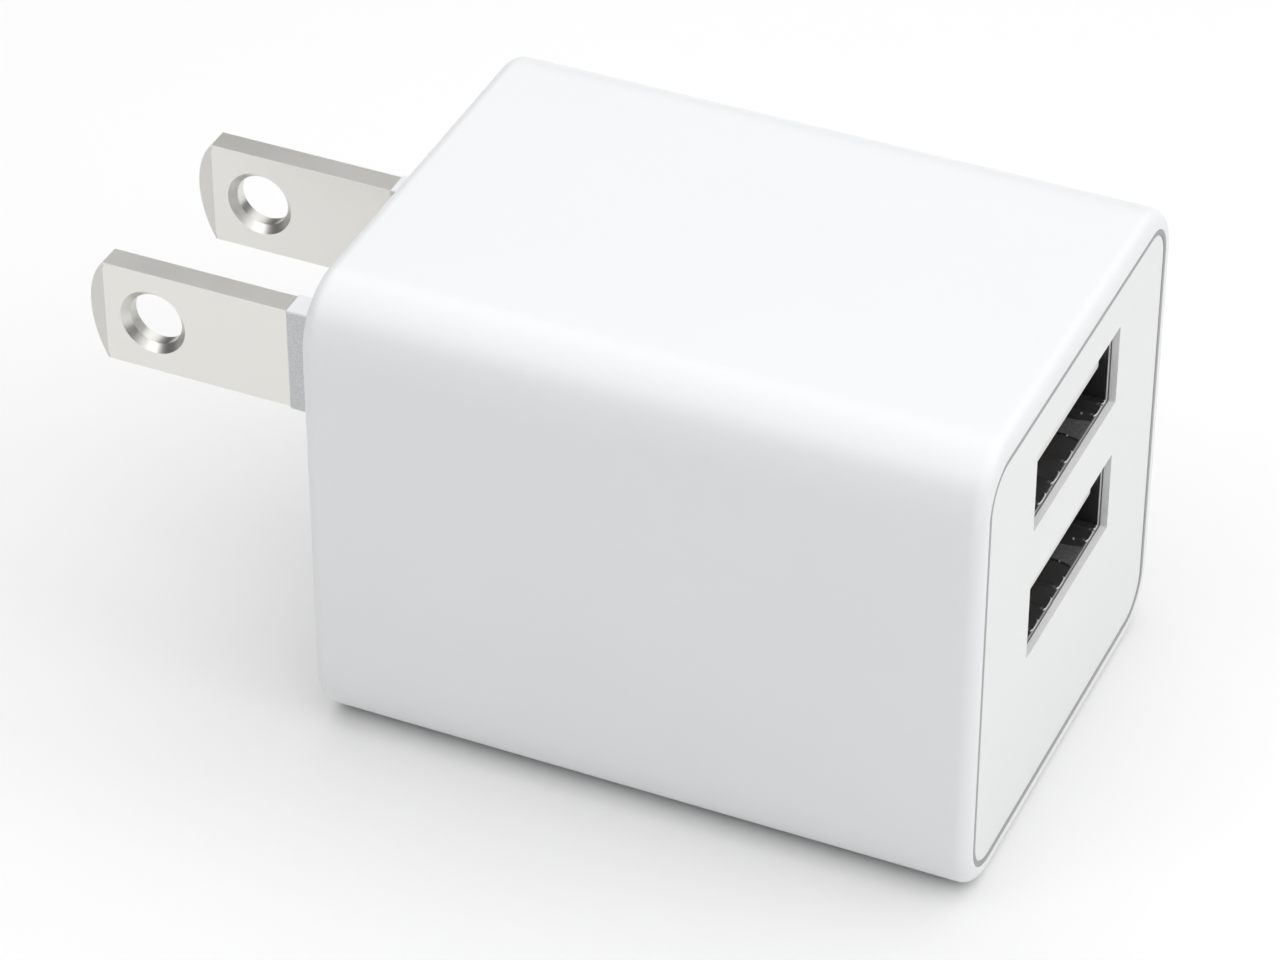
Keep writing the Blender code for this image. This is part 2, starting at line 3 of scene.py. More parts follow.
import bpy
import numpy as np
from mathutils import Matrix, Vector


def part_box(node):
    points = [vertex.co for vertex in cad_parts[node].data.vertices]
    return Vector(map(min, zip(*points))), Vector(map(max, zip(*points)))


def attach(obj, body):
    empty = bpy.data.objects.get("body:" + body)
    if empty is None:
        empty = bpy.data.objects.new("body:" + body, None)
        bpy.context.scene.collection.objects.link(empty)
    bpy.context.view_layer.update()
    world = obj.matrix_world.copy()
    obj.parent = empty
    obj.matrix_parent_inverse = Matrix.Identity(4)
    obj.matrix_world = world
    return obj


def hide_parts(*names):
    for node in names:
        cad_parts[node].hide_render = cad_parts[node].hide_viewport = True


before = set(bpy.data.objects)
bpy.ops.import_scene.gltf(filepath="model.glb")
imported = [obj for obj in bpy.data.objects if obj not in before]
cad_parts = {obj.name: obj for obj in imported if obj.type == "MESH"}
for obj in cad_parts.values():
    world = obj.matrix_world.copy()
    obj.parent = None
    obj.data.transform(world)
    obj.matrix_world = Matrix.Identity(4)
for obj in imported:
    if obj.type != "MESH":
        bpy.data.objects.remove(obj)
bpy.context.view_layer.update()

# ---------------------------------------------------------------- housing
# The white cup that holds everything: one injection moulding in gloss ABS, square with
# round long edges, closed at the plug end. Its mouth has a seat that the port panel
# drops onto, and its back wall is moulded tight around both insulated blade roots.

mm = 0.001
end_rounding = 0.8 * mm
body_corner = 3.7 * mm
side_wall = 1.6 * mm
back_wall = 2.0 * mm
mouth_edge = 0.06 * mm
flat_border = 0.05 * mm
groove = 0.3 * mm
seat_depth = 1.85 * mm
sleeve_slot_corner = 0.3 * mm
sleeve_slot_room = 0.02 * mm
sleeve_slot_depth = 3 * mm
body_low, body_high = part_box("housing")
back, front = body_low[0], body_high[0]
middle = (body_low[2] + body_high[2]) / 2
body_half = (body_high[2] - body_low[2]) / 2
panel_low, panel_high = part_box("front_panel")
panel_half = (panel_high[2] - panel_low[2]) / 2
mouth_half = panel_half + groove
mouth_corner = 2.45 * mm
cavity_half = body_half - side_wall
cavity_corner = body_corner - side_wall
seat = front - seat_depth


def rounded_outline(half_u, half_v, corner, steps=20):
    """A rectangle with round corners, as points in turn. Each corner is a quarter circle about a centre
    that lies one radius in from both sides, with a point on the straight side before and after it."""
    turn = np.linspace(0, np.pi / 2, steps)
    lead = min(0.03 * mm, 0.2 * corner)
    circle = corner * np.stack([np.cos(turn), np.sin(turn)], axis=1)
    arc = np.vstack([[corner, -lead], circle, [-lead, corner]])
    quarters = []
    for quarter, (sign_u, sign_v) in enumerate(((1, 1), (-1, 1), (-1, -1), (1, -1))):
        cosine, sine = math.cos(quarter * math.pi / 2), math.sin(quarter * math.pi / 2)
        turned = arc @ np.array([[cosine, sine], [-sine, cosine]])
        quarters.append(turned + [sign_u * (half_u - corner), sign_v * (half_v - corner)])
    return np.vstack(quarters)


def edge_arc(radius, start, stop, steps=10):
    """Part of a quarter circle between two angles in degrees, as (distance along, inset) from a square
    edge: along is the radius times one minus the sine, inset the radius times one minus the cosine."""
    turn = np.radians(np.linspace(start, stop, steps))
    return np.stack([radius * (1 - np.sin(turn)), radius * (1 - np.cos(turn))], axis=1)


def rings_along_x(stations, centre_y, centre_z, steps=20):
    """One rounded outline for each station (x, half width, half height, corner), standing across X."""
    rings = []
    for x, half_y, half_z, corner in stations:
        outline = rounded_outline(half_y, half_z, corner, steps)
        rings.append(np.column_stack([np.full(len(outline), x), outline + [centre_y, centre_z]]))
    return np.array(rings)


def square_rings(stations):
    """One rounded square for each station (x, half width, corner), centred on the body's middle line."""
    return rings_along_x([(x, half, half, corner) for x, half, corner in stations], 0.0, middle)


def skin(rings, tube=False):
    """A closed skin: quads join each ring of points to the next, and the first and last ring are either
    capped or, for a tube, joined to each other."""
    stations, count = rings.shape[:2]
    index = np.arange(stations * count).reshape(stations, count)
    near = index if tube else index[:-1]
    far = np.roll(index, -1, axis=0) if tube else index[1:]
    quads = np.stack([near, np.roll(near, -1, axis=1), np.roll(far, -1, axis=1), far], axis=-1)
    faces = quads.reshape(-1, 4).tolist()
    if not tube:
        faces += [index[0][::-1].tolist(), index[-1].tolist()]
    mesh = bpy.data.meshes.new("skin")
    mesh.from_pydata(rings.reshape(-1, 3).tolist(), [], faces)
    return mesh


def show(name, mesh, material, body, replaced=(), sharp=32):
    """Put a finished mesh in the scene as a piece: smooth but for edges sharper than an angle, with its
    material, the body it moves with, and the plain solids that it stands for."""
    mesh.name = name
    mesh.shade_smooth()
    mesh.set_sharp_from_angle(angle=math.radians(sharp))
    mesh.materials.clear()
    mesh.materials.append(material)
    piece = bpy.data.objects.new(name, mesh)
    bpy.context.scene.collection.objects.link(piece)
    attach(piece, body)
    for node in replaced:
        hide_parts(node)
    return piece


def cut_or_join(mesh, cutter_mesh, operation="DIFFERENCE"):
    """A mesh with another taken away from it, or joined to it."""
    target = bpy.data.objects.new("target", mesh)
    cutter = bpy.data.objects.new("cutter", cutter_mesh)
    for item in (target, cutter):
        bpy.context.scene.collection.objects.link(item)
    modifier = target.modifiers.new("trim", "BOOLEAN")
    modifier.operation = operation
    modifier.object = cutter
    depsgraph = bpy.context.evaluated_depsgraph_get()
    result = bpy.data.meshes.new_from_object(target.evaluated_get(depsgraph))
    for item in (target, cutter):
        bpy.data.objects.remove(item)
    return result


def moulded_bar(low, high, corner, steps=6):
    """A bar along X between two opposite corners: one round-cornered outline carried straight from
    end to end."""
    low, high = np.array(low), np.array(high)
    centre, half = (low + high) / 2, (high - low) / 2
    outline = rounded_outline(half[1], half[2], corner, steps) + centre[1:]
    rings = [np.column_stack([np.full(len(outline), x), outline]) for x in (low[0], high[0])]
    return skin(np.array(rings))


def new_material(name):
    """An empty node material, with its shader and the nodes that give it coordinates."""
    material = bpy.data.materials.new(name)
    material.use_nodes = True
    nodes, links = material.node_tree.nodes, material.node_tree.links
    shader = nodes["Principled BSDF"]
    place = nodes.new("ShaderNodeTexCoord")
    return material, nodes, links, shader, place


def moulded_plastic(name, colour, shade, roughness, grain, grain_height, gloss=0.5):
    """Moulded plastic: a fine grain in the surface, a roughness that drifts a little over broad patches,
    and a colour that drifts with it between two tones."""
    material, nodes, links, shader, place = new_material(name)
    drift = nodes.new("ShaderNodeTexNoise")
    drift.inputs["Scale"].default_value = 90.0
    drift.inputs["Detail"].default_value = 3.0
    links.new(place.outputs["Object"], drift.inputs["Vector"])
    tone = nodes.new("ShaderNodeMix")
    tone.data_type = "RGBA"
    tone.inputs["A"].default_value = (*colour, 1.0)
    tone.inputs["B"].default_value = (*shade, 1.0)
    links.new(drift.outputs["Fac"], tone.inputs["Factor"])
    links.new(tone.outputs["Result"], shader.inputs["Base Color"])
    sheen = nodes.new("ShaderNodeMapRange")
    sheen.inputs["To Min"].default_value = roughness - 0.04
    sheen.inputs["To Max"].default_value = roughness + 0.04
    links.new(drift.outputs["Fac"], sheen.inputs["Value"])
    links.new(sheen.outputs["Result"], shader.inputs["Roughness"])
    texture = nodes.new("ShaderNodeTexNoise")
    texture.inputs["Scale"].default_value = grain
    texture.inputs["Detail"].default_value = 2.0
    links.new(place.outputs["Object"], texture.inputs["Vector"])
    bump = nodes.new("ShaderNodeBump")
    bump.inputs["Strength"].default_value = 0.35
    bump.inputs["Distance"].default_value = grain_height
    links.new(texture.outputs["Fac"], bump.inputs["Height"])
    links.new(bump.outputs["Normal"], shader.inputs["Normal"])
    shader.inputs["Specular IOR Level"].default_value = gloss
    return material


white_gloss = moulded_plastic(
    "white_gloss", (0.866, 0.873, 0.884), (0.846, 0.853, 0.864), 0.34, 3500.0, 0.004 * mm
)

back_edge = edge_arc(end_rounding, 90, 0)
front_edge = edge_arc(end_rounding, 0, 90)
end_inset = end_rounding + flat_border
stations = [(back, body_half - end_inset, body_corner - end_inset)]
stations += [(back + along, body_half - inset, body_corner - inset) for along, inset in back_edge]
for x in (back + end_inset, front - end_inset):
    stations.append((x, body_half, body_corner))
stations += [(front - along, body_half - inset, body_corner - inset) for along, inset in front_edge]
lip_half = mouth_half + mouth_edge
lip_corner = mouth_corner + mouth_edge
for turn in np.radians(np.linspace(0, 90, 5)):
    inset = mouth_edge * math.sin(turn)
    stations.append((front - mouth_edge * (1 - math.cos(turn)), lip_half - inset, lip_corner - inset))
stations += [
    (seat, mouth_half, mouth_corner),
    (seat, cavity_half, cavity_corner),
    (back + back_wall, cavity_half, cavity_corner),
]
housing = skin(square_rings(stations))
for sleeve in ("blade_sleeve_near", "blade_sleeve_far"):
    sleeve_low, sleeve_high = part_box(sleeve)
    room = sleeve_slot_room
    slot_low = (back - mm, sleeve_low[1] - room, sleeve_low[2] - room)
    slot_high = (back + sleeve_slot_depth, sleeve_high[1] + room, sleeve_high[2] + room)
    housing = cut_or_join(housing, moulded_bar(slot_low, slot_high, sleeve_slot_corner))
show("housing_moulding", housing, white_gloss, "charger", ("housing",), sharp=25)

# ---------------------------------------------------------------- port panel
# The square panel that closes the housing, flush with its rim. It is moulded in the same
# white plastic, with two sharp-edged openings for the ports, and a skirt that is welded in.
# A grey bead fills the groove around it; its grey is painted shade for the groove's shadow.

panel_front = panel_high[0]
panel_corner = 2.15 * mm
panel_edge = 0.05 * mm
panel_thickness = 1.5 * mm
panel_back = panel_front - panel_thickness
skirt_room = 0.3 * mm
skirt_half = cavity_half - skirt_room
skirt_corner = 1.8 * mm
skirt_wall = 1.0 * mm
skirt_inner = skirt_half - skirt_wall
skirt_inner_corner = 0.9 * mm
opening_half_y = 6.225 * mm
opening_half_z = 2.475 * mm
opening_corner = 0.12 * mm
opening_lip = 0.4 * mm
pocket_half_y = 6.7 * mm
pocket_half_z = 2.975 * mm
pocket_corner = 0.4 * mm
ports = {"upper": middle + 7.8 * mm, "lower": middle - 0.6 * mm}
bead_proud = 0.035 * mm
bead_depth = 0.6 * mm
bead_gap = 0.01 * mm

stations = [
    (panel_back, skirt_inner, skirt_inner_corner),
    (panel_low[0], skirt_inner, skirt_inner_corner),
    (panel_low[0], skirt_half, skirt_corner),
    (panel_back, skirt_half, skirt_corner),
    (panel_back, panel_half, panel_corner),
]
for along, inset in edge_arc(panel_edge, 0, 90, 6):
    stations.append((panel_front - along, panel_half - inset, panel_corner - inset))
face_inset = panel_edge + flat_border
stations.append((panel_front, panel_half - face_inset, panel_corner - face_inset))
panel = skin(square_rings(stations))
for level in ports.values():
    opening_low = (panel_back - mm, -opening_half_y, level - opening_half_z)
    opening_high = (panel_front + mm, opening_half_y, level + opening_half_z)
    panel = cut_or_join(panel, moulded_bar(opening_low, opening_high, opening_corner))
    pocket_low = (panel_back - mm, -pocket_half_y, level - pocket_half_z)
    pocket_high = (panel_front - opening_lip, pocket_half_y, level + pocket_half_z)
    panel = cut_or_join(panel, moulded_bar(pocket_low, pocket_high, pocket_corner))
white_satin = moulded_plastic(
    "white_satin", (0.86, 0.865, 0.865), (0.84, 0.845, 0.845), 0.42, 4200.0, 0.005 * mm
)
show("port_panel", panel, white_satin, "charger", ("front_panel",), sharp=25)

# The bead is a painted shadow: a grey ring laid in the groove, where there is only shade.
bead_front, bead_back = panel_front + bead_proud, panel_front - bead_depth
inner_wall = (panel_half + bead_gap, panel_corner + bead_gap)
outer_wall = (mouth_half - bead_gap, mouth_corner - bead_gap)
bead_stations = [
    (bead_back, *inner_wall),
    (bead_back, *outer_wall),
    (bead_front, *outer_wall),
    (bead_front, *inner_wall),
]
bead = skin(square_rings(bead_stations), tube=True)
# Painted shade: this grey stands in for the shadow in the groove.
painted_groove_shade = moulded_plastic(
    "painted_groove_shade", (0.43, 0.43, 0.435), (0.40, 0.40, 0.405), 0.7, 4000.0, 0.004 * mm, 0.2
)
show("panel_painted_groove_shade", bead, painted_groove_shade, "charger")

# ---------------------------------------------------------------- plug blades
# Two flat contact blades, blanked from brass strip and nickel plated to a fine satin. Each
# has a bowed tip chamfered from both sides, a countersunk hole for an outlet's dimples, and
# a thinner neck that runs through its sleeve to the wire behind the back wall.

blade_near_low, blade_near_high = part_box("blade_near")
near_sleeve_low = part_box("blade_sleeve_near")[0]
root_gap = 0.015 * mm
blade_tip = blade_near_low[0]
blade_tail = blade_near_high[0]
blade_half_width = (blade_near_high[2] - blade_near_low[2]) / 2
blade_half_thickness = (blade_near_high[1] - blade_near_low[1]) / 2
blade_level = (blade_near_high[2] + blade_near_low[2]) / 2
blade_root = near_sleeve_low[0] - root_gap
blade_edge = 0.03 * mm
tip_arc = 1.15 * mm
tip_bevel = 0.45 * mm
hole_radius = 1.6 * mm
sink_radius = 2.0 * mm
hole_from_tip = 4.08 * mm
neck_half_thickness = 0.45 * mm
neck_half_width = 2.875 * mm
neck_overlap = 0.3 * mm
neck_corner = 0.05 * mm
face_border = 0.15 * mm


def blade_reach(turn, inset, bowed):
    """How far the blade's outline is from its hole at each angle: the nearest of the root's end, the long
    edges and the tip. The tip is a circle whose arc rises by tip_arc over the blade's width, or, unbowed,
    the straight line where the chamfer starts. Everything moves in by the inset."""
    cosine, sine = np.cos(turn), np.sin(turn)
    bow = (blade_half_width ** 2 + tip_arc ** 2) / (2 * tip_arc)
    ahead = bow - hole_from_tip
    to_bow = ahead * cosine + np.sqrt(ahead ** 2 * cosine ** 2 - ahead ** 2 + (bow - inset) ** 2)
    to_line = (hole_from_tip - tip_arc) / np.maximum(-cosine, 1e-6)
    to_tip = np.where(cosine < 0, to_bow if bowed else to_line, 1.0)
    to_edge = (blade_half_width - inset) / np.maximum(np.abs(sine), 1e-6)
    to_root = (blade_root - blade_tip - hole_from_tip - inset) / np.maximum(cosine, 1e-6)
    return np.minimum(np.minimum(to_tip, to_edge), to_root)


def blade_skin(centre_y):
    """A blade as rings around its hole: the bore, the countersink, the flat face, the chamfer, the rounded
    edge, and the same again on the other side. The chamfer drops by tip_bevel over the rise of the tip."""
    root_corner = math.atan2(blade_half_width, blade_root - blade_tip - hole_from_tip)
    tip_corner = math.atan2(blade_half_width, tip_arc - hole_from_tip)
    stops = (-root_corner, root_corner, tip_corner, 2 * math.pi - tip_corner, 2 * math.pi - root_corner)
    turn = np.concatenate([np.linspace(a, b, 24, endpoint=False) for a, b in zip(stops, stops[1:])])
    thick = blade_half_thickness
    rounding = np.radians(np.linspace(0, 90, 5))
    rings = []
    for radius, out in ((hole_radius, thick + hole_radius - sink_radius), (sink_radius, thick)):
        rings.append((np.full_like(turn, radius), np.full_like(turn, out)))
    flat_reach = np.minimum(blade_reach(turn, face_border, False), blade_reach(turn, face_border, True))
    rings.append((flat_reach, np.full_like(turn, thick)))
    for angle in rounding:
        inset = blade_edge * (1 - math.sin(angle))
        reach = blade_reach(turn, inset, True)
        past_line = (tip_arc - hole_from_tip - reach * np.cos(turn)) / tip_arc
        out = thick - tip_bevel * np.clip(past_line, 0, 1) - blade_edge * (1 - math.cos(angle))
        rings.append((reach, out))
    rings += [(reach, -out) for reach, out in rings[::-1]]
    hole_x = blade_tip + hole_from_tip
    points = [
        np.column_stack([hole_x + reach * np.cos(turn), centre_y + out, blade_level + reach * np.sin(turn)])
        for reach, out in rings
    ]
    return skin(np.array(points)[::-1], tube=True)


def satin_plating(name, colour, shade, roughness, along, grain_height):
    """Satin nickel plating: fine rolling lines along one axis, a grain over them, and tone and roughness
    that drift together over broad patches."""
    material, nodes, links, shader, place = new_material(name)
    stretch = nodes.new("ShaderNodeMapping")
    stretch.inputs["Scale"].default_value = tuple(250.0 if axis == along else 6000.0 for axis in "XYZ")
    links.new(place.outputs["Object"], stretch.inputs["Vector"])
    rolling = nodes.new("ShaderNodeTexNoise")
    rolling.inputs["Scale"].default_value = 1.0
    rolling.inputs["Detail"].default_value = 3.0
    links.new(stretch.outputs["Vector"], rolling.inputs["Vector"])
    grain = nodes.new("ShaderNodeTexNoise")
    grain.inputs["Scale"].default_value = 7000.0
    grain.inputs["Detail"].default_value = 1.0
    links.new(place.outputs["Object"], grain.inputs["Vector"])
    drift = nodes.new("ShaderNodeTexNoise")
    drift.inputs["Scale"].default_value = 160.0
    drift.inputs["Detail"].default_value = 4.0
    links.new(place.outputs["Object"], drift.inputs["Vector"])
    both = nodes.new("ShaderNodeMath")
    both.operation = "MULTIPLY_ADD"
    both.inputs[1].default_value = 0.4
    links.new(rolling.outputs["Fac"], both.inputs[0])
    links.new(grain.outputs["Fac"], both.inputs[2])
    tone = nodes.new("ShaderNodeMix")
    tone.data_type = "RGBA"
    tone.inputs["A"].default_value = (*shade, 1.0)
    tone.inputs["B"].default_value = (*colour, 1.0)
    links.new(drift.outputs["Fac"], tone.inputs["Factor"])
    links.new(tone.outputs["Result"], shader.inputs["Base Color"])
    wear = nodes.new("ShaderNodeMapRange")
    wear.inputs["To Min"].default_value = roughness - 0.06
    wear.inputs["To Max"].default_value = roughness + 0.06
    links.new(drift.outputs["Fac"], wear.inputs["Value"])
    links.new(wear.outputs["Result"], shader.inputs["Roughness"])
    bump = nodes.new("ShaderNodeBump")
    bump.inputs["Strength"].default_value = 0.3
    bump.inputs["Distance"].default_value = grain_height
    links.new(both.outputs["Value"], bump.inputs["Height"])
    links.new(bump.outputs["Normal"], shader.inputs["Normal"])
    shader.inputs["Metallic"].default_value = 1.0
    return material


blade_plating = satin_plating(
    "blade_plating", (0.81, 0.80, 0.765), (0.775, 0.765, 0.73), 0.33, "X", 0.002 * mm
)
nodes, links = blade_plating.node_tree.nodes, blade_plating.node_tree.links
shader = nodes["Principled BSDF"]
# Painted shade: faces that turn towards -X, the tip chamfers, get a darker tone, which stands in for the
# darker reflection that they show.
facing = nodes.new("ShaderNodeNewGeometry")
facing_x = nodes.new("ShaderNodeSeparateXYZ")
links.new(facing.outputs["Normal"], facing_x.inputs["Vector"])
painted_chamfer_shade_mask = nodes.new("ShaderNodeMapRange")
painted_chamfer_shade_mask.inputs["From Min"].default_value = -0.15
painted_chamfer_shade_mask.inputs["From Max"].default_value = -0.3
links.new(facing_x.outputs["X"], painted_chamfer_shade_mask.inputs["Value"])
painted_chamfer_shade = nodes.new("ShaderNodeMix")
painted_chamfer_shade.data_type = "RGBA"
painted_chamfer_shade.inputs["B"].default_value = (0.64, 0.63, 0.60, 1.0)
links.new(painted_chamfer_shade_mask.outputs["Result"], painted_chamfer_shade.inputs["Factor"])
links.new(shader.inputs["Base Color"].links[0].from_socket, painted_chamfer_shade.inputs["A"])
links.new(painted_chamfer_shade.outputs["Result"], shader.inputs["Base Color"])
for side in ("near", "far"):
    blade_low, blade_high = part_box(f"blade_{side}")
    centre_y = (blade_low[1] + blade_high[1]) / 2
    neck_low = (blade_root - neck_overlap, centre_y - neck_half_thickness, blade_level - neck_half_width)
    neck_high = (blade_tail, centre_y + neck_half_thickness, blade_level + neck_half_width)
    neck = moulded_bar(neck_low, neck_high, neck_corner)
    blade = cut_or_join(blade_skin(centre_y), neck, "UNION")
    replaced = (f"blade_{side}",)
    show(f"plug_blade_{side}", blade, blade_plating, "charger", replaced, sharp=10)

# ---------------------------------------------------------------- blade sleeves
# The insulation moulded around the root of each blade, which keeps fingers off live metal
# while the plug is half in. It is glass-filled nylon, pale grey and speckled on its broad
# sides, with painted light that makes its top and bottom edges paler, and it runs through the housing's back
# wall.

sleeve_edge = 0.08 * mm
sleeve_corner = 0.16 * mm
sleeve_wall = 0.3 * mm
sleeve_bore_corner = 0.05 * mm
speckled_nylon, nodes, links, shader, place = new_material("speckled_nylon")
fleck = nodes.new("ShaderNodeTexNoise")
fleck.inputs["Scale"].default_value = 15000.0
fleck.inputs["Detail"].default_value = 2.0
links.new(place.outputs["Object"], fleck.inputs["Vector"])
fleck_tone = nodes.new("ShaderNodeValToRGB")
fleck_tone.color_ramp.elements[0].position = 0.36
fleck_tone.color_ramp.elements[0].color = (0.57, 0.575, 0.59, 1.0)
fleck_tone.color_ramp.elements[1].position = 0.62
fleck_tone.color_ramp.elements[1].color = (0.73, 0.735, 0.75, 1.0)
links.new(fleck.outputs["Fac"], fleck_tone.inputs["Fac"])
# Painted light: faces turned up or down are paler than the broad sides, which stands in for the light that
# falls on the top.
facing = nodes.new("ShaderNodeNewGeometry")
facing_z = nodes.new("ShaderNodeSeparateXYZ")
links.new(facing.outputs["Normal"], facing_z.inputs["Vector"])
painted_light_up_down = nodes.new("ShaderNodeMath")
painted_light_up_down.operation = "ABSOLUTE"
links.new(facing_z.outputs["Z"], painted_light_up_down.inputs[0])
painted_edge_light = nodes.new("ShaderNodeMix")
painted_edge_light.data_type = "RGBA"
painted_edge_light.inputs["B"].default_value = (0.88, 0.885, 0.90, 1.0)
links.new(painted_light_up_down.outputs["Value"], painted_edge_light.inputs["Factor"])
links.new(fleck_tone.outputs["Color"], painted_edge_light.inputs["A"])
links.new(painted_edge_light.outputs["Result"], shader.inputs["Base Color"])
rough_skin = nodes.new("ShaderNodeBump")
rough_skin.inputs["Strength"].default_value = 0.3
rough_skin.inputs["Distance"].default_value = 0.006 * mm
links.new(fleck.outputs["Fac"], rough_skin.inputs["Height"])
links.new(rough_skin.outputs["Normal"], shader.inputs["Normal"])
shader.inputs["Roughness"].default_value = 0.5
shader.inputs["Specular IOR Level"].default_value = 0.8

for side in ("near", "far"):
    low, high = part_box(f"blade_sleeve_{side}")
    centre_y, centre_z = (low[1] + high[1]) / 2, (low[2] + high[2]) / 2
    half_y, half_z = (high[1] - low[1]) / 2, (high[2] - low[2]) / 2
    bore = (half_y - sleeve_wall, half_z - sleeve_wall, sleeve_bore_corner)
    profile = [(high[0], *bore), (high[0], half_y, half_z, sleeve_corner)]
    for along, inset in edge_arc(sleeve_edge, 90, 0, 5)[::-1]:
        profile.append((low[0] + along, half_y - inset, half_z - inset, sleeve_corner - inset))
    profile.append((low[0], *bore))
    sleeve = skin(rings_along_x(profile, centre_y, centre_z, 6)[::-1], tube=True)
    replaced = (f"blade_sleeve_{side}",)
    show(f"root_sleeve_{side}", sleeve, speckled_nylon, "charger", replaced, 30)

# ---------------------------------------------------------------- blade retainer
# A moulded plate that drops over both blade necks behind the back wall, and keeps them
# square and apart. It stays out of sight, in a natural, unpainted resin.

natural_resin = moulded_plastic(
    "natural_resin", (0.74, 0.73, 0.69), (0.69, 0.68, 0.63), 0.58, 2500.0, 0.01 * mm
)


def finish_node(node, material):
    """Give a solid that already has its true shape its material."""
    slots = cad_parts[node].material_slots
    if not slots:
        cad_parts[node].data.materials.append(material)
    for slot in slots:
        slot.material = material


finish_node("blade_retainer", natural_resin)

# ---------------------------------------------------------------- port shells
# Each port is lined by a box drawn from thin steel and tin plated. Its rolled front lip
# stands just behind the panel's opening. Five tabs, turned up out of the lower lip, hold down
# the dark floor, and two pips locate its felt strip. The tabs are a paler copy of the tin, as painted
# highlight.

shell_wall = 0.3 * mm
shell_lip = 0.08 * mm
shell_corner = 0.5 * mm
shell_inner_corner = 0.2 * mm
tab_spans = ((-4.2, -3.15), (-2.25, -1.1), (-0.25, 0.85), (4.25, 5.3), (5.45, 5.8))
tab_depth = 0.2 * mm
tab_wire = 0.04 * mm
tab_first_nub = 0.05 * mm
tab_last_nub = 0.03 * mm
tab_sink = 0.05 * mm
pip_places = (4.15 * mm, 2.0 * mm)
pip_setback = 0.72 * mm
pip_half_length = 0.06 * mm
pip_depth = 0.15 * mm
floor_height = 0.14 * mm
tin_plating = satin_plating("tin_plating", (0.62, 0.62, 0.61), (0.52, 0.52, 0.51), 0.5, "X", 0.001 * mm)
# Painted highlight: the tabs get a paler, glossier copy of the shell's tin, which stands in for the glints
# on their rounded noses.
tin_painted_highlight = satin_plating("tin_painted_highlight", (0.95, 0.95, 0.94), (0.88, 0.88, 0.87), 0.42, "Y", 0.001 * mm)


def turned_up_tab(front_x, start_y, end_y, depth, z):
    """A round wire carried along a flat arch, from the floor at one end to the floor at the other. In
    plan it goes forward as the fourth root of the sine of the way along, so that it runs straight along
    the lip and turns back at both ends. Two bell curves raise it near its ends, the first one more."""
    way = np.linspace(0.02, 0.98, 40)
    swing = np.sin(np.pi * way)
    first_nub = tab_first_nub * np.exp(-((way - 0.15) / 0.1) ** 2)
    last_nub = tab_last_nub * np.exp(-((way - 0.85) / 0.1) ** 2)
    path = np.stack([
        front_x - depth + depth * swing ** 0.25,
        start_y + (end_y - start_y) * (1 - np.cos(np.pi * way)) / 2,
        z + tab_wire + first_nub + last_nub,
    ], axis=1)
    ahead = np.gradient(path, axis=0)
    ahead /= np.linalg.norm(ahead, axis=1, keepdims=True)
    aside = np.cross(ahead, [0.0, 0.0, 1.0])
    aside /= np.linalg.norm(aside, axis=1, keepdims=True)
    above = np.cross(aside, ahead)
    around = np.linspace(0, 2 * np.pi, 10)[:-1, None]
    section = tab_wire * (np.cos(around)[None] * aside[:, None] + np.sin(around)[None] * above[:, None])
    return skin(path[:, None] + section)


for level, height in ports.items():
    low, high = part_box(f"port_{level}_shell")
    half_y, half_z = (high[1] - low[1]) / 2, (high[2] - low[2]) / 2
    inner_y, inner_z = half_y - shell_wall, half_z - shell_wall
    profile = [(low[0], inner_y, inner_z, shell_inner_corner), (low[0], half_y, half_z, shell_corner)]
    for turn in np.radians(np.linspace(0, 180, 9)):
        out = shell_wall / 2 * (1 + math.cos(turn))
        along = shell_lip * math.sin(turn)
        lip = (inner_y + out, inner_z + out, shell_inner_corner + out)
        profile.append((high[0] - shell_lip + along, *lip))
    shell = skin(rings_along_x(profile, 0.0, height, 8), tube=True)
    replaced = (f"port_{level}_shell",)
    show(f"port_{level}_steel_shell", shell, tin_plating, "charger", replaced, 35)
    floor_top = height - inner_z + floor_height
    for number, (start, end) in enumerate(tab_spans, start=1):
        tab = turned_up_tab(high[0], start * mm, end * mm, tab_depth, floor_top - tab_sink)
        show(f"port_{level}_tab_{number}", tab, tin_painted_highlight, "charger")
    for number, pip_y in enumerate(pip_places, start=1):
        pip_start, pip_end = pip_y - pip_half_length, pip_y + pip_half_length
        pip = turned_up_tab(high[0] - pip_setback, pip_start, pip_end, pip_depth, floor_top)
        show(f"port_{level}_pip_{number}", pip, tin_plating, "charger")

# ---------------------------------------------------------------- port tongues
# The insulator of each port is one white moulding: a block that fills the back of the shell,
# and a tongue in the upper half with four slots underneath, where the contacts spring.

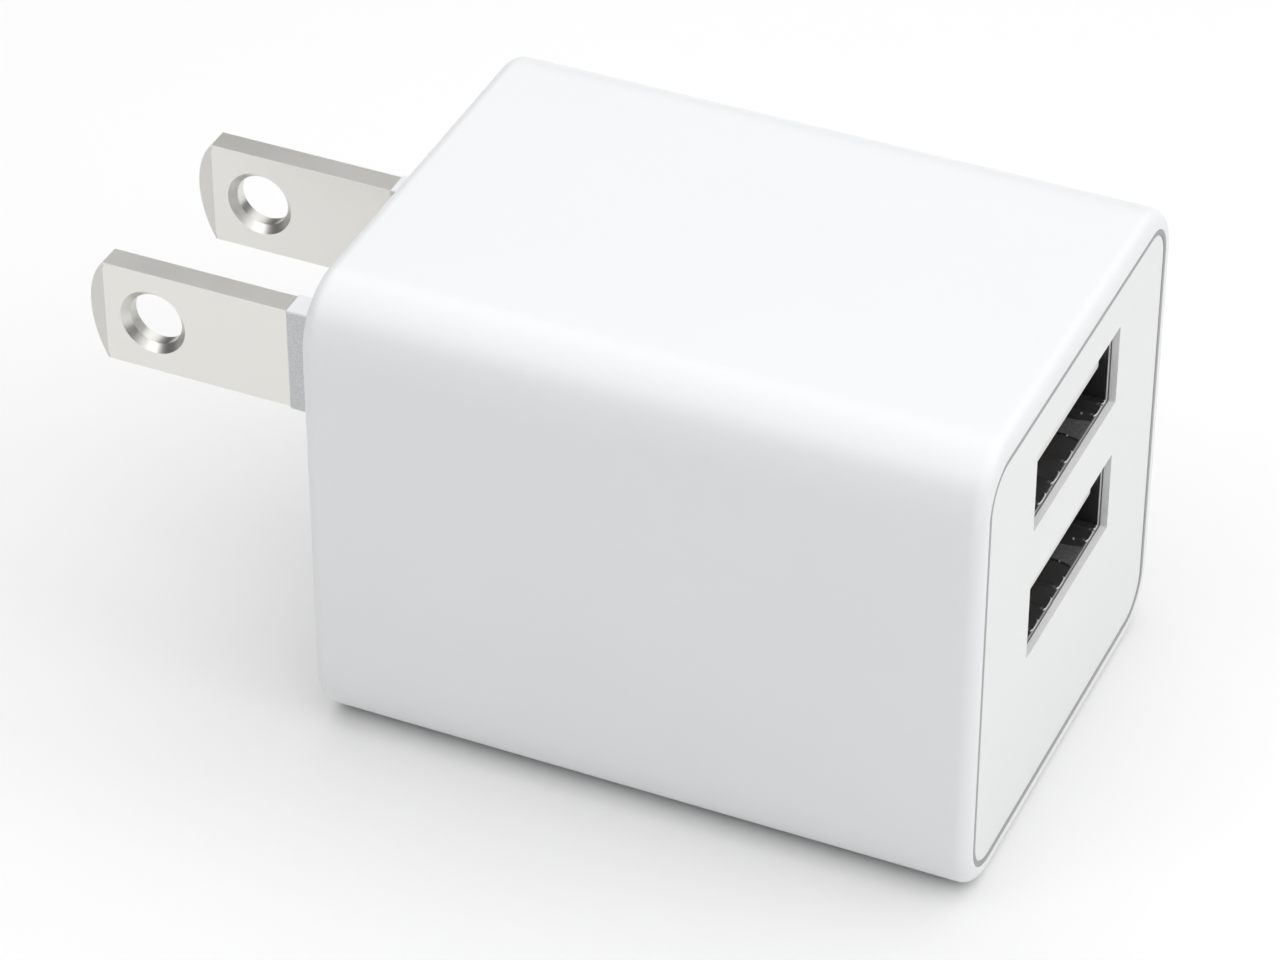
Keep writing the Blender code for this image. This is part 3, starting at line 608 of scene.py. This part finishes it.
tongue_half_width = 5.55 * mm
tongue_rise = 0.04 * mm
tongue_thickness = 1.84 * mm
tongue_bar = 0.6 * mm
contact_places = (-3.5 * mm, -1.0 * mm, 1.0 * mm, 3.5 * mm)
slot_half_width = 0.75 * mm
slot_clearance = 0.45 * mm
slot_height = 1.1 * mm
slot_corner = 0.05 * mm
block_length = 4.6 * mm
block_corner = 0.25 * mm
tongue_corner = 0.12 * mm
tongue_overlap = 0.5 * mm
tongue_resin = moulded_plastic(
    "tongue_resin", (0.80, 0.79, 0.765), (0.76, 0.75, 0.725), 0.45, 3000.0, 0.006 * mm
)
for level, height in ports.items():
    low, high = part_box(f"port_{level}_insulator")
    block_front = low[0] + block_length
    under = height + tongue_rise
    rear = moulded_bar(low, (block_front, high[1], high[2]), block_corner)
    tongue_low = (block_front - tongue_overlap, -tongue_half_width, under)
    tongue_high = (high[0], tongue_half_width, under + tongue_thickness)
    tongue = moulded_bar(tongue_low, tongue_high, tongue_corner)
    insulator = cut_or_join(rear, tongue, "UNION")
    for place_y in contact_places:
        slot_low = (low[0] - mm, place_y - slot_half_width, under - slot_clearance)
        slot_high = (high[0] - tongue_bar, place_y + slot_half_width, under + slot_height)
        insulator = cut_or_join(insulator, moulded_bar(slot_low, slot_high, slot_corner))
    replaced = (f"port_{level}_insulator",)
    show(f"port_{level}_tongue", insulator, tongue_resin, "charger", replaced, 30)

# ---------------------------------------------------------------- port floors
# A thin black moulding lies in each shell, and turns up its two side walls. Rounded ribs run
# the length of its floor for the plug's nose to slide on, with one strip of grey felt
# between them that takes up the rattle.

floor_wall = 0.12 * mm
rib_places = (-4.05 * mm, -2.1 * mm, -0.1 * mm, 4.4 * mm, 5.45 * mm)
rib_half_width = 0.16 * mm
rib_rise = 0.07 * mm
rib_nose_inset = 0.12 * mm
rib_nose_reach = 1.2 * mm
floor_side_room = 0.03 * mm
floor_under_room = 0.02 * mm
floor_wall_drop = 0.3 * mm
felt_half_thickness = 0.05 * mm
felt_corner = 0.03 * mm
felt_rise = 0.055 * mm
felt_outline = np.array([
    (7.0, 2.05, 3.45),
    (0.8, 2.05, 3.45),
    (0.4, 1.95, 3.55),
    (0.01, 1.85, 3.65),
]) * mm
gloss_black = moulded_plastic(
    "gloss_black", (0.028, 0.028, 0.029), (0.04, 0.04, 0.041), 0.2, 2500.0, 0.004 * mm, 0.5
)
grey_felt, nodes, links, shader, place = new_material("grey_felt")
fibre = nodes.new("ShaderNodeTexNoise")
fibre.inputs["Scale"].default_value = 11000.0
fibre.inputs["Detail"].default_value = 3.0
links.new(place.outputs["Object"], fibre.inputs["Vector"])
fibre_tone = nodes.new("ShaderNodeValToRGB")
fibre_tone.color_ramp.elements[0].position = 0.35
fibre_tone.color_ramp.elements[0].color = (0.065, 0.065, 0.066, 1.0)
fibre_tone.color_ramp.elements[1].position = 0.66
fibre_tone.color_ramp.elements[1].color = (0.125, 0.125, 0.128, 1.0)
links.new(fibre.outputs["Fac"], fibre_tone.inputs["Fac"])
links.new(fibre_tone.outputs["Color"], shader.inputs["Base Color"])
nap = nodes.new("ShaderNodeBump")
nap.inputs["Strength"].default_value = 0.8
nap.inputs["Distance"].default_value = 0.02 * mm
links.new(fibre.outputs["Fac"], nap.inputs["Height"])
links.new(nap.outputs["Normal"], shader.inputs["Normal"])
shader.inputs["Roughness"].default_value = 0.95
shader.inputs["Specular IOR Level"].default_value = 0.2


def ribbed_floor(x_back, x_front, half_width, bottom, wall_top):
    """A channel carried along X. Across it the surface climbs down one wall, over the floor and up the
    other. On the floor each rib is a low half ellipse, which ends in a quarter round at its nose: its
    height falls with the distance from the rib's middle line."""
    across = np.linspace(-1, 1, 301)
    along = np.concatenate([
        np.linspace(x_back, x_front - rib_nose_reach, 20, endpoint=False),
        np.linspace(x_front - rib_nose_reach, x_front, 50),
    ])
    x, y = np.meshgrid(along, across * (half_width - floor_wall), indexing="ij")
    rise = np.zeros_like(x)
    for place_y in rib_places:
        nose = x_front - rib_nose_inset - rib_half_width
        past = np.maximum(x - nose, 0)
        distance = np.sqrt(past ** 2 + (y - place_y) ** 2) / rib_half_width
        rise = np.maximum(rise, rib_rise * np.sqrt(np.clip(1 - distance ** 2, 0, 1)))
    top = bottom + floor_wall + rise
    ends = np.array([half_width, half_width, half_width - floor_wall])
    side_z = np.array([bottom, wall_top, wall_top])
    columns_y = np.concatenate([-ends, y[0], ends[::-1]])
    walls_z = np.tile(side_z, (len(along), 1))
    points = np.empty((len(along), len(columns_y), 3))
    points[..., 0] = along[:, None]
    points[..., 1] = columns_y
    points[..., 2] = np.hstack([walls_z, top, walls_z[:, ::-1]])
    return skin(points[::-1])


for level, height in ports.items():
    low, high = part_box(f"port_{level}_liner")
    shell_low, shell_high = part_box(f"port_{level}_shell")
    half_width = shell_high[1] - shell_wall - floor_side_room
    bottom = shell_low[2] + shell_wall + floor_under_room
    wall_top = shell_high[2] - shell_wall - floor_wall_drop
    channel = ribbed_floor(low[0], high[0], half_width, bottom, wall_top)
    replaced = (f"port_{level}_liner",)
    show(f"port_{level}_ribbed_floor", channel, gloss_black, "charger", replaced, 50)
    felt_rings = []
    for setback, left, right in felt_outline:
        outline = rounded_outline((right - left) / 2, felt_half_thickness, felt_corner, 5)
        centre = [(left + right) / 2, bottom + floor_wall + felt_rise]
        felt_rings.append(np.column_stack([np.full(len(outline), high[0] - setback), outline + centre]))
    felt = skin(np.array(felt_rings))
    show(f"port_{level}_felt_strip", felt, grey_felt, "charger", (), 50)

# ---------------------------------------------------------------- spring contacts
# Four contacts for each port, stamped from spring bronze and gold plated. The tail is held
# in the block, and the free end runs forward in its slot, bows down below the tongue where
# the plug touches it, and turns up again at its nose.

contact_thickness = 0.25 * mm
contact_half_width = 0.45 * mm
contact_corner = 0.06 * mm
contact_rise = 0.35 * mm
gold_plating = satin_plating("gold_plating", (0.90, 0.70, 0.34), (0.82, 0.61, 0.27), 0.22, "X", 0.001 * mm)


def bent_strip(path_x, path_z, centre_y):
    """A flat strip with rounded edges carried along a smooth curve through listed heights. Its
    section is turned to stand square to the curve, whose slope is the change of height over the change
    of distance."""
    x = np.linspace(path_x[0], path_x[-1], 60)
    heights = np.interp(x, path_x, path_z)
    window = np.hanning(9) / np.hanning(9).sum()
    padded = np.concatenate([np.full(4, heights[0]), heights, np.full(4, heights[-1])])
    heights = np.convolve(padded, window, mode="valid")
    slope = np.gradient(heights, x)
    length = np.hypot(1, slope)
    outline = rounded_outline(contact_half_width, contact_thickness / 2, contact_corner, 4)
    across, through = outline[:, 0], outline[:, 1]
    points = np.stack([
        x[:, None] - through[None, :] * (slope / length)[:, None],
        centre_y + np.tile(across, (len(x), 1)),
        heights[:, None] + through[None, :] / length[:, None],
    ], axis=-1)
    return skin(points)


for level, height in ports.items():
    for number, place_y in enumerate(contact_places, start=1):
        node = f"port_{level}_contact_{number}"
        low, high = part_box(node)
        bend = height + contact_rise
        path_x = low[0] + np.array([0.0, 2.6, 4.6, 5.4, 6.0, 6.6, 6.85]) * mm
        path_z = bend + np.array([0.0, -0.05, -0.4, -0.6, -0.57, -0.2, 0.05]) * mm
        strip = bent_strip(path_x, path_z, place_y)
        body = f"{level}_contacts"
        show(f"port_{level}_spring_{number}", strip, gold_plating, body, (node,), 40)
        finish_node(f"port_{level}_tail_{number}", gold_plating)

# ---------------------------------------------------------------- circuit boards
# The main board lies low on ribs in the housing, and the USB board stands behind the ports.
# Both are glass-epoxy laminate under green solder mask, with copper tracks that show through
# it, and the four tinned pins of the board link join them.


def masked_laminate(name, across):
    """Green solder mask over copper: tracks are the paler cells of a brick pattern turned into the board's
    plane, and round pads are the cores of a cell pattern."""
    material, nodes, links, shader, place = new_material(name)
    turn = nodes.new("ShaderNodeMapping")
    turn.inputs["Rotation"].default_value = (0.0, math.pi / 2 if across == "X" else 0.0, 0.0)
    links.new(place.outputs["Object"], turn.inputs["Vector"])
    tracks = nodes.new("ShaderNodeTexBrick")
    tracks.inputs["Scale"].default_value = 300.0
    tracks.inputs["Color1"].default_value = (0.025, 0.16, 0.06, 1.0)
    tracks.inputs["Color2"].default_value = (0.035, 0.22, 0.085, 1.0)
    tracks.inputs["Mortar"].default_value = (0.012, 0.10, 0.04, 1.0)
    tracks.inputs["Mortar Size"].default_value = 0.04
    tracks.inputs["Brick Width"].default_value = 1.3
    tracks.inputs["Row Height"].default_value = 0.35
    links.new(turn.outputs["Vector"], tracks.inputs["Vector"])
    pads = nodes.new("ShaderNodeTexVoronoi")
    pads.inputs["Scale"].default_value = 420.0
    links.new(turn.outputs["Vector"], pads.inputs["Vector"])
    is_pad = nodes.new("ShaderNodeMath")
    is_pad.operation = "LESS_THAN"
    is_pad.inputs[1].default_value = 0.16
    links.new(pads.outputs["Distance"], is_pad.inputs[0])
    tone = nodes.new("ShaderNodeMix")
    tone.data_type = "RGBA"
    tone.inputs["B"].default_value = (0.68, 0.67, 0.63, 1.0)
    links.new(is_pad.outputs["Value"], tone.inputs["Factor"])
    links.new(tracks.outputs["Color"], tone.inputs["A"])
    links.new(tone.outputs["Result"], shader.inputs["Base Color"])
    bump = nodes.new("ShaderNodeBump")
    bump.inputs["Strength"].default_value = 0.5
    bump.inputs["Distance"].default_value = 0.03 * mm
    links.new(tracks.outputs["Fac"], bump.inputs["Height"])
    links.new(bump.outputs["Normal"], shader.inputs["Normal"])
    shader.inputs["Roughness"].default_value = 0.38
    return material


finish_node("main_board", masked_laminate("main_board_mask", "Z"))
finish_node("usb_board", masked_laminate("usb_board_mask", "X"))
tinned_pin = satin_plating("tinned_pin", (0.80, 0.80, 0.78), (0.66, 0.66, 0.64), 0.34, "Z", 0.002 * mm)
for number in (1, 2, 3, 4):
    finish_node(f"board_link_{number}", tinned_pin)

# ---------------------------------------------------------------- insulation sheet
# A sheet of amber polyester film stands between the mains side and the USB board, so that
# nothing can creep across. It is cut from roll stock and slid into two grooves.

amber_film = moulded_plastic("amber_film", (0.72, 0.46, 0.12), (0.62, 0.37, 0.08), 0.28, 900.0, 0.01 * mm)
finish_node("insulation_sheet", amber_film)

# ---------------------------------------------------------------- transformer
# Two pressed ferrite halves close around a black bobbin. Its windings are wrapped in turns
# of yellow polyester tape, whose edges show as fine lines round the coil.


def pressed_ferrite(name):
    """Fired ferrite: dark grey, with a coarse grain of pits and paler specks."""
    material, nodes, links, shader, place = new_material(name)
    grain = nodes.new("ShaderNodeTexVoronoi")
    grain.inputs["Scale"].default_value = 4500.0
    links.new(place.outputs["Object"], grain.inputs["Vector"])
    tone = nodes.new("ShaderNodeValToRGB")
    tone.color_ramp.elements[0].color = (0.10, 0.10, 0.105, 1.0)
    tone.color_ramp.elements[1].color = (0.035, 0.035, 0.038, 1.0)
    links.new(grain.outputs["Distance"], tone.inputs["Fac"])
    links.new(tone.outputs["Color"], shader.inputs["Base Color"])
    bump = nodes.new("ShaderNodeBump")
    bump.inputs["Strength"].default_value = 0.6
    bump.inputs["Distance"].default_value = 0.02 * mm
    bump.invert = True
    links.new(grain.outputs["Distance"], bump.inputs["Height"])
    links.new(bump.outputs["Normal"], shader.inputs["Normal"])
    shader.inputs["Roughness"].default_value = 0.62
    return material


def wrapped_tape(name, colour, shade, layer):
    """Tape wound round and round: a saw-tooth of layers up the coil, each a step lighter than the last,
    with a wrinkle over it."""
    material, nodes, links, shader, place = new_material(name)
    layers = nodes.new("ShaderNodeTexWave")
    layers.bands_direction = "Z"
    layers.wave_profile = "SAW"
    layers.inputs["Scale"].default_value = 1.0 / (layer * 20 / math.pi)
    layers.inputs["Distortion"].default_value = 0.6
    layers.inputs["Detail Scale"].default_value = 2.0
    links.new(place.outputs["Object"], layers.inputs["Vector"])
    tone = nodes.new("ShaderNodeMix")
    tone.data_type = "RGBA"
    tone.inputs["A"].default_value = (*colour, 1.0)
    tone.inputs["B"].default_value = (*shade, 1.0)
    links.new(layers.outputs["Fac"], tone.inputs["Factor"])
    links.new(tone.outputs["Result"], shader.inputs["Base Color"])
    bump = nodes.new("ShaderNodeBump")
    bump.inputs["Strength"].default_value = 0.5
    bump.inputs["Distance"].default_value = 0.04 * mm
    links.new(layers.outputs["Fac"], bump.inputs["Height"])
    links.new(bump.outputs["Normal"], shader.inputs["Normal"])
    shader.inputs["Roughness"].default_value = 0.36
    return material


ferrite = pressed_ferrite("pressed_ferrite")
finish_node("transformer_core_lower", ferrite)
finish_node("transformer_core_upper", ferrite)
bobbin_black = moulded_plastic(
    "bobbin_black", (0.05, 0.045, 0.04), (0.035, 0.03, 0.028), 0.5, 2500.0, 0.01 * mm
)
finish_node("transformer_bobbin", bobbin_black)
yellow_tape = wrapped_tape("yellow_tape", (0.86, 0.68, 0.06), (0.70, 0.50, 0.03), 0.6 * mm)
finish_node("transformer_winding", yellow_tape)

# ---------------------------------------------------------------- capacitors
# Four electrolytic cans stand on the main board: two tall ones on the mains side in printed
# dark sleeves with a pale stripe down one side, and two bare aluminium ones at the output.
# Their tops are scored aluminium, so that they can vent.


def sleeved_can(name, node, sleeve, stripe):
    """A shrunk sleeve up to the rim with a stripe down the side that faces -Y, and bare metal above it.
    The stripe is where the Object coordinates from the can's middle point mostly along -Y."""
    low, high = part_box(node)
    material, nodes, links, shader, place = new_material(name)
    centre = nodes.new("ShaderNodeMapping")
    centre.inputs["Location"].default_value = (-(low[0] + high[0]) / 2, -(low[1] + high[1]) / 2, 0.0)
    links.new(place.outputs["Object"], centre.inputs["Vector"])
    parts = nodes.new("ShaderNodeSeparateXYZ")
    links.new(centre.outputs["Vector"], parts.inputs["Vector"])
    on_stripe = nodes.new("ShaderNodeMath")
    on_stripe.operation = "LESS_THAN"
    on_stripe.inputs[1].default_value = -0.93 * (high[1] - low[1]) / 2
    links.new(parts.outputs["Y"], on_stripe.inputs[0])
    sleeve_tone = nodes.new("ShaderNodeMix")
    sleeve_tone.data_type = "RGBA"
    sleeve_tone.inputs["A"].default_value = (*sleeve, 1.0)
    sleeve_tone.inputs["B"].default_value = (*stripe, 1.0)
    links.new(on_stripe.outputs["Value"], sleeve_tone.inputs["Factor"])
    on_top = nodes.new("ShaderNodeMath")
    on_top.operation = "GREATER_THAN"
    on_top.inputs[1].default_value = high[2] - 0.25 * mm
    links.new(parts.outputs["Z"], on_top.inputs[0])
    brushed = nodes.new("ShaderNodeTexNoise")
    brushed.inputs["Scale"].default_value = 3000.0
    links.new(place.outputs["Object"], brushed.inputs["Vector"])
    metal_tone = nodes.new("ShaderNodeValToRGB")
    metal_tone.color_ramp.elements[0].color = (0.6, 0.6, 0.62, 1.0)
    metal_tone.color_ramp.elements[1].color = (0.86, 0.86, 0.88, 1.0)
    links.new(brushed.outputs["Fac"], metal_tone.inputs["Fac"])
    tone = nodes.new("ShaderNodeMix")
    tone.data_type = "RGBA"
    links.new(on_top.outputs["Value"], tone.inputs["Factor"])
    links.new(sleeve_tone.outputs["Result"], tone.inputs["A"])
    links.new(metal_tone.outputs["Color"], tone.inputs["B"])
    links.new(tone.outputs["Result"], shader.inputs["Base Color"])
    links.new(on_top.outputs["Value"], shader.inputs["Metallic"])
    bump = nodes.new("ShaderNodeBump")
    bump.inputs["Strength"].default_value = 0.2
    bump.inputs["Distance"].default_value = 0.01 * mm
    links.new(brushed.outputs["Fac"], bump.inputs["Height"])
    links.new(bump.outputs["Normal"], shader.inputs["Normal"])
    shader.inputs["Roughness"].default_value = 0.3
    return material


for number in (1, 2):
    node = f"bulk_capacitor_{number}"
    finish_node(node, sleeved_can(f"dark_sleeve_{number}", node, (0.03, 0.035, 0.06), (0.55, 0.56, 0.60)))
    node = f"output_capacitor_{number}"
    finish_node(node, sleeved_can(f"bare_can_{number}", node, (0.62, 0.62, 0.64), (0.12, 0.14, 0.30)))

# ---------------------------------------------------------------- choke, fuse resistor and safety capacitor
# The input choke is a ferrite drum wound with enamelled wire. The fuse resistor lies beside it
# under a dull enamel with colour bands, and the safety capacitor is a blue dipped disc.

enamelled_wire = wrapped_tape("enamelled_wire", (0.42, 0.16, 0.05), (0.16, 0.055, 0.02), 0.28 * mm)
finish_node("input_inductor", enamelled_wire)

banded_enamel, nodes, links, shader, place = new_material("banded_enamel")
fuse_low, fuse_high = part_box("fusible_resistor")
along = nodes.new("ShaderNodeSeparateXYZ")
links.new(place.outputs["Object"], along.inputs["Vector"])
part_way = nodes.new("ShaderNodeMapRange")
part_way.inputs["From Min"].default_value = fuse_low[1]
part_way.inputs["From Max"].default_value = fuse_high[1]
links.new(along.outputs["Y"], part_way.inputs["Value"])
bands = nodes.new("ShaderNodeValToRGB")
bands.color_ramp.interpolation = "CONSTANT"
enamel = (0.20, 0.34, 0.29, 1.0)
bands.color_ramp.elements[0].color = enamel
bands.color_ramp.elements[1].position = 0.2
bands.color_ramp.elements[1].color = (0.25, 0.10, 0.04, 1.0)
for start, colour in (
    (0.28, enamel),
    (0.38, (0.02, 0.02, 0.02, 1.0)),
    (0.46, enamel),
    (0.56, (0.65, 0.45, 0.12, 1.0)),
    (0.64, enamel),
):
    band = bands.color_ramp.elements.new(start)
    band.color = colour
links.new(part_way.outputs["Result"], bands.inputs["Fac"])
links.new(bands.outputs["Color"], shader.inputs["Base Color"])
orange_peel = nodes.new("ShaderNodeTexNoise")
orange_peel.inputs["Scale"].default_value = 1800.0
links.new(place.outputs["Object"], orange_peel.inputs["Vector"])
peel_bump = nodes.new("ShaderNodeBump")
peel_bump.inputs["Strength"].default_value = 0.4
peel_bump.inputs["Distance"].default_value = 0.02 * mm
links.new(orange_peel.outputs["Fac"], peel_bump.inputs["Height"])
links.new(peel_bump.outputs["Normal"], shader.inputs["Normal"])
shader.inputs["Roughness"].default_value = 0.45
finish_node("fusible_resistor", banded_enamel)

dipped_blue = moulded_plastic(
    "dipped_blue", (0.05, 0.20, 0.52), (0.04, 0.15, 0.42), 0.34, 1200.0, 0.02 * mm
)
finish_node("y_capacitor", dipped_blue)

# ---------------------------------------------------------------- chip packages
# The bridge, the controller, the optocoupler and the rectifier hang under the main board,
# and the port controller sits on the USB board. All are black moulded epoxy, slightly
# grainy, with no print.

mould_epoxy = moulded_plastic(
    "mould_epoxy", (0.028, 0.028, 0.03), (0.02, 0.02, 0.021), 0.55, 5000.0, 0.012 * mm
)
packages = ("bridge_rectifier", "controller_chip", "optocoupler", "output_rectifier", "port_controller_chip")
for node in packages:
    finish_node(node, mould_epoxy)

# ---------------------------------------------------------------- leads
# Two short wires carry the mains from the blades' tails down to the main board. They are
# tinned copper in a soft vinyl jacket, black for live and white for neutral, and soldered.

live_jacket = moulded_plastic(
    "live_jacket", (0.03, 0.03, 0.03), (0.022, 0.022, 0.022), 0.42, 2000.0, 0.01 * mm
)
neutral_jacket = moulded_plastic(
    "neutral_jacket", (0.78, 0.78, 0.76), (0.73, 0.73, 0.70), 0.42, 2000.0, 0.01 * mm
)
finish_node("live_lead", live_jacket)
finish_node("neutral_lead", neutral_jacket)

# ---------------------------------------------------------------- camera
# The camera stands above the near long side, towards the ports, and looks down at the
# charger lying on the table.

camera_azimuth, camera_elevation, camera_distance = 23.998, 37.034, 0.270
aim = Vector((0.00715, -0.01034, 0.01961))
camera_data = bpy.data.cameras.new("camera")
camera_data.lens = 145.45
camera_data.sensor_width = 36.0
camera_data.clip_start = 0.01
camera_data.clip_end = 10.0
camera = bpy.data.objects.new("camera", camera_data)
azimuth, elevation = math.radians(camera_azimuth), math.radians(camera_elevation)
sight = Vector((
    -math.sin(azimuth) * math.cos(elevation), math.cos(azimuth) * math.cos(elevation), -math.sin(elevation)
))
camera.location = aim - sight * camera_distance
camera.rotation_euler = sight.to_track_quat("-Z", "Y").to_euler()
bpy.context.scene.collection.objects.link(camera)
bpy.context.scene.camera = camera

# ---------------------------------------------------------------- table and studio light
# The charger lies on a plain matt white table that runs out of view. Square soft boxes hang
# over it, behind it, in front of its ports and on the near side, in a pale room.

floor_mesh = bpy.data.meshes.new("table_top")
reach = 1.5
corners = [(-reach, -reach, 0), (reach, -reach, 0), (reach, reach, 0), (-reach, reach, 0)]
floor_mesh.from_pydata(corners, [], [(0, 1, 2, 3)])
floor = bpy.data.objects.new("table_top", floor_mesh)
floor.location.z = -0.02 * mm
bpy.context.scene.collection.objects.link(floor)
table_white, nodes, links, shader, place = new_material("table_white")
shader.inputs["Base Color"].default_value = (0.9, 0.9, 0.9, 1.0)
shader.inputs["Roughness"].default_value = 0.8
floor_mesh.materials.append(table_white)

world = bpy.data.worlds.new("studio")
world.use_nodes = True
world.node_tree.nodes["Background"].inputs["Color"].default_value = (1.0, 1.0, 1.0, 1.0)
world.node_tree.nodes["Background"].inputs["Strength"].default_value = 0.12
bpy.context.scene.world = world
bpy.context.scene.view_settings.view_transform = "Standard"

centre = Vector((0.008, 0.0, 0.014))
for name, position, size, brightness in (
    ("overhead", (0.12, 0.0, 1.2), 2.4, 1.55),
    ("behind", (0.0, 1.2, 0.6), 1.2, 0.36),
    ("port_side", (1.1, 0.1, 0.45), 0.8, 1.38),
    ("near_left", (-0.4, -0.75, 0.9), 0.6, 0.6),
    ("near_low", (0.0, -1.1, 0.3), 0.6, 0.32),
):
    light_data = bpy.data.lights.new(name, "AREA")
    light_data.shape = "SQUARE"
    light_data.size = size
    light_data.energy = brightness * math.pi * size ** 2
    light = bpy.data.objects.new(name, light_data)
    light.location = position
    light.rotation_euler = (centre - light.location).to_track_quat("-Z", "Y").to_euler()
    bpy.context.scene.collection.objects.link(light)
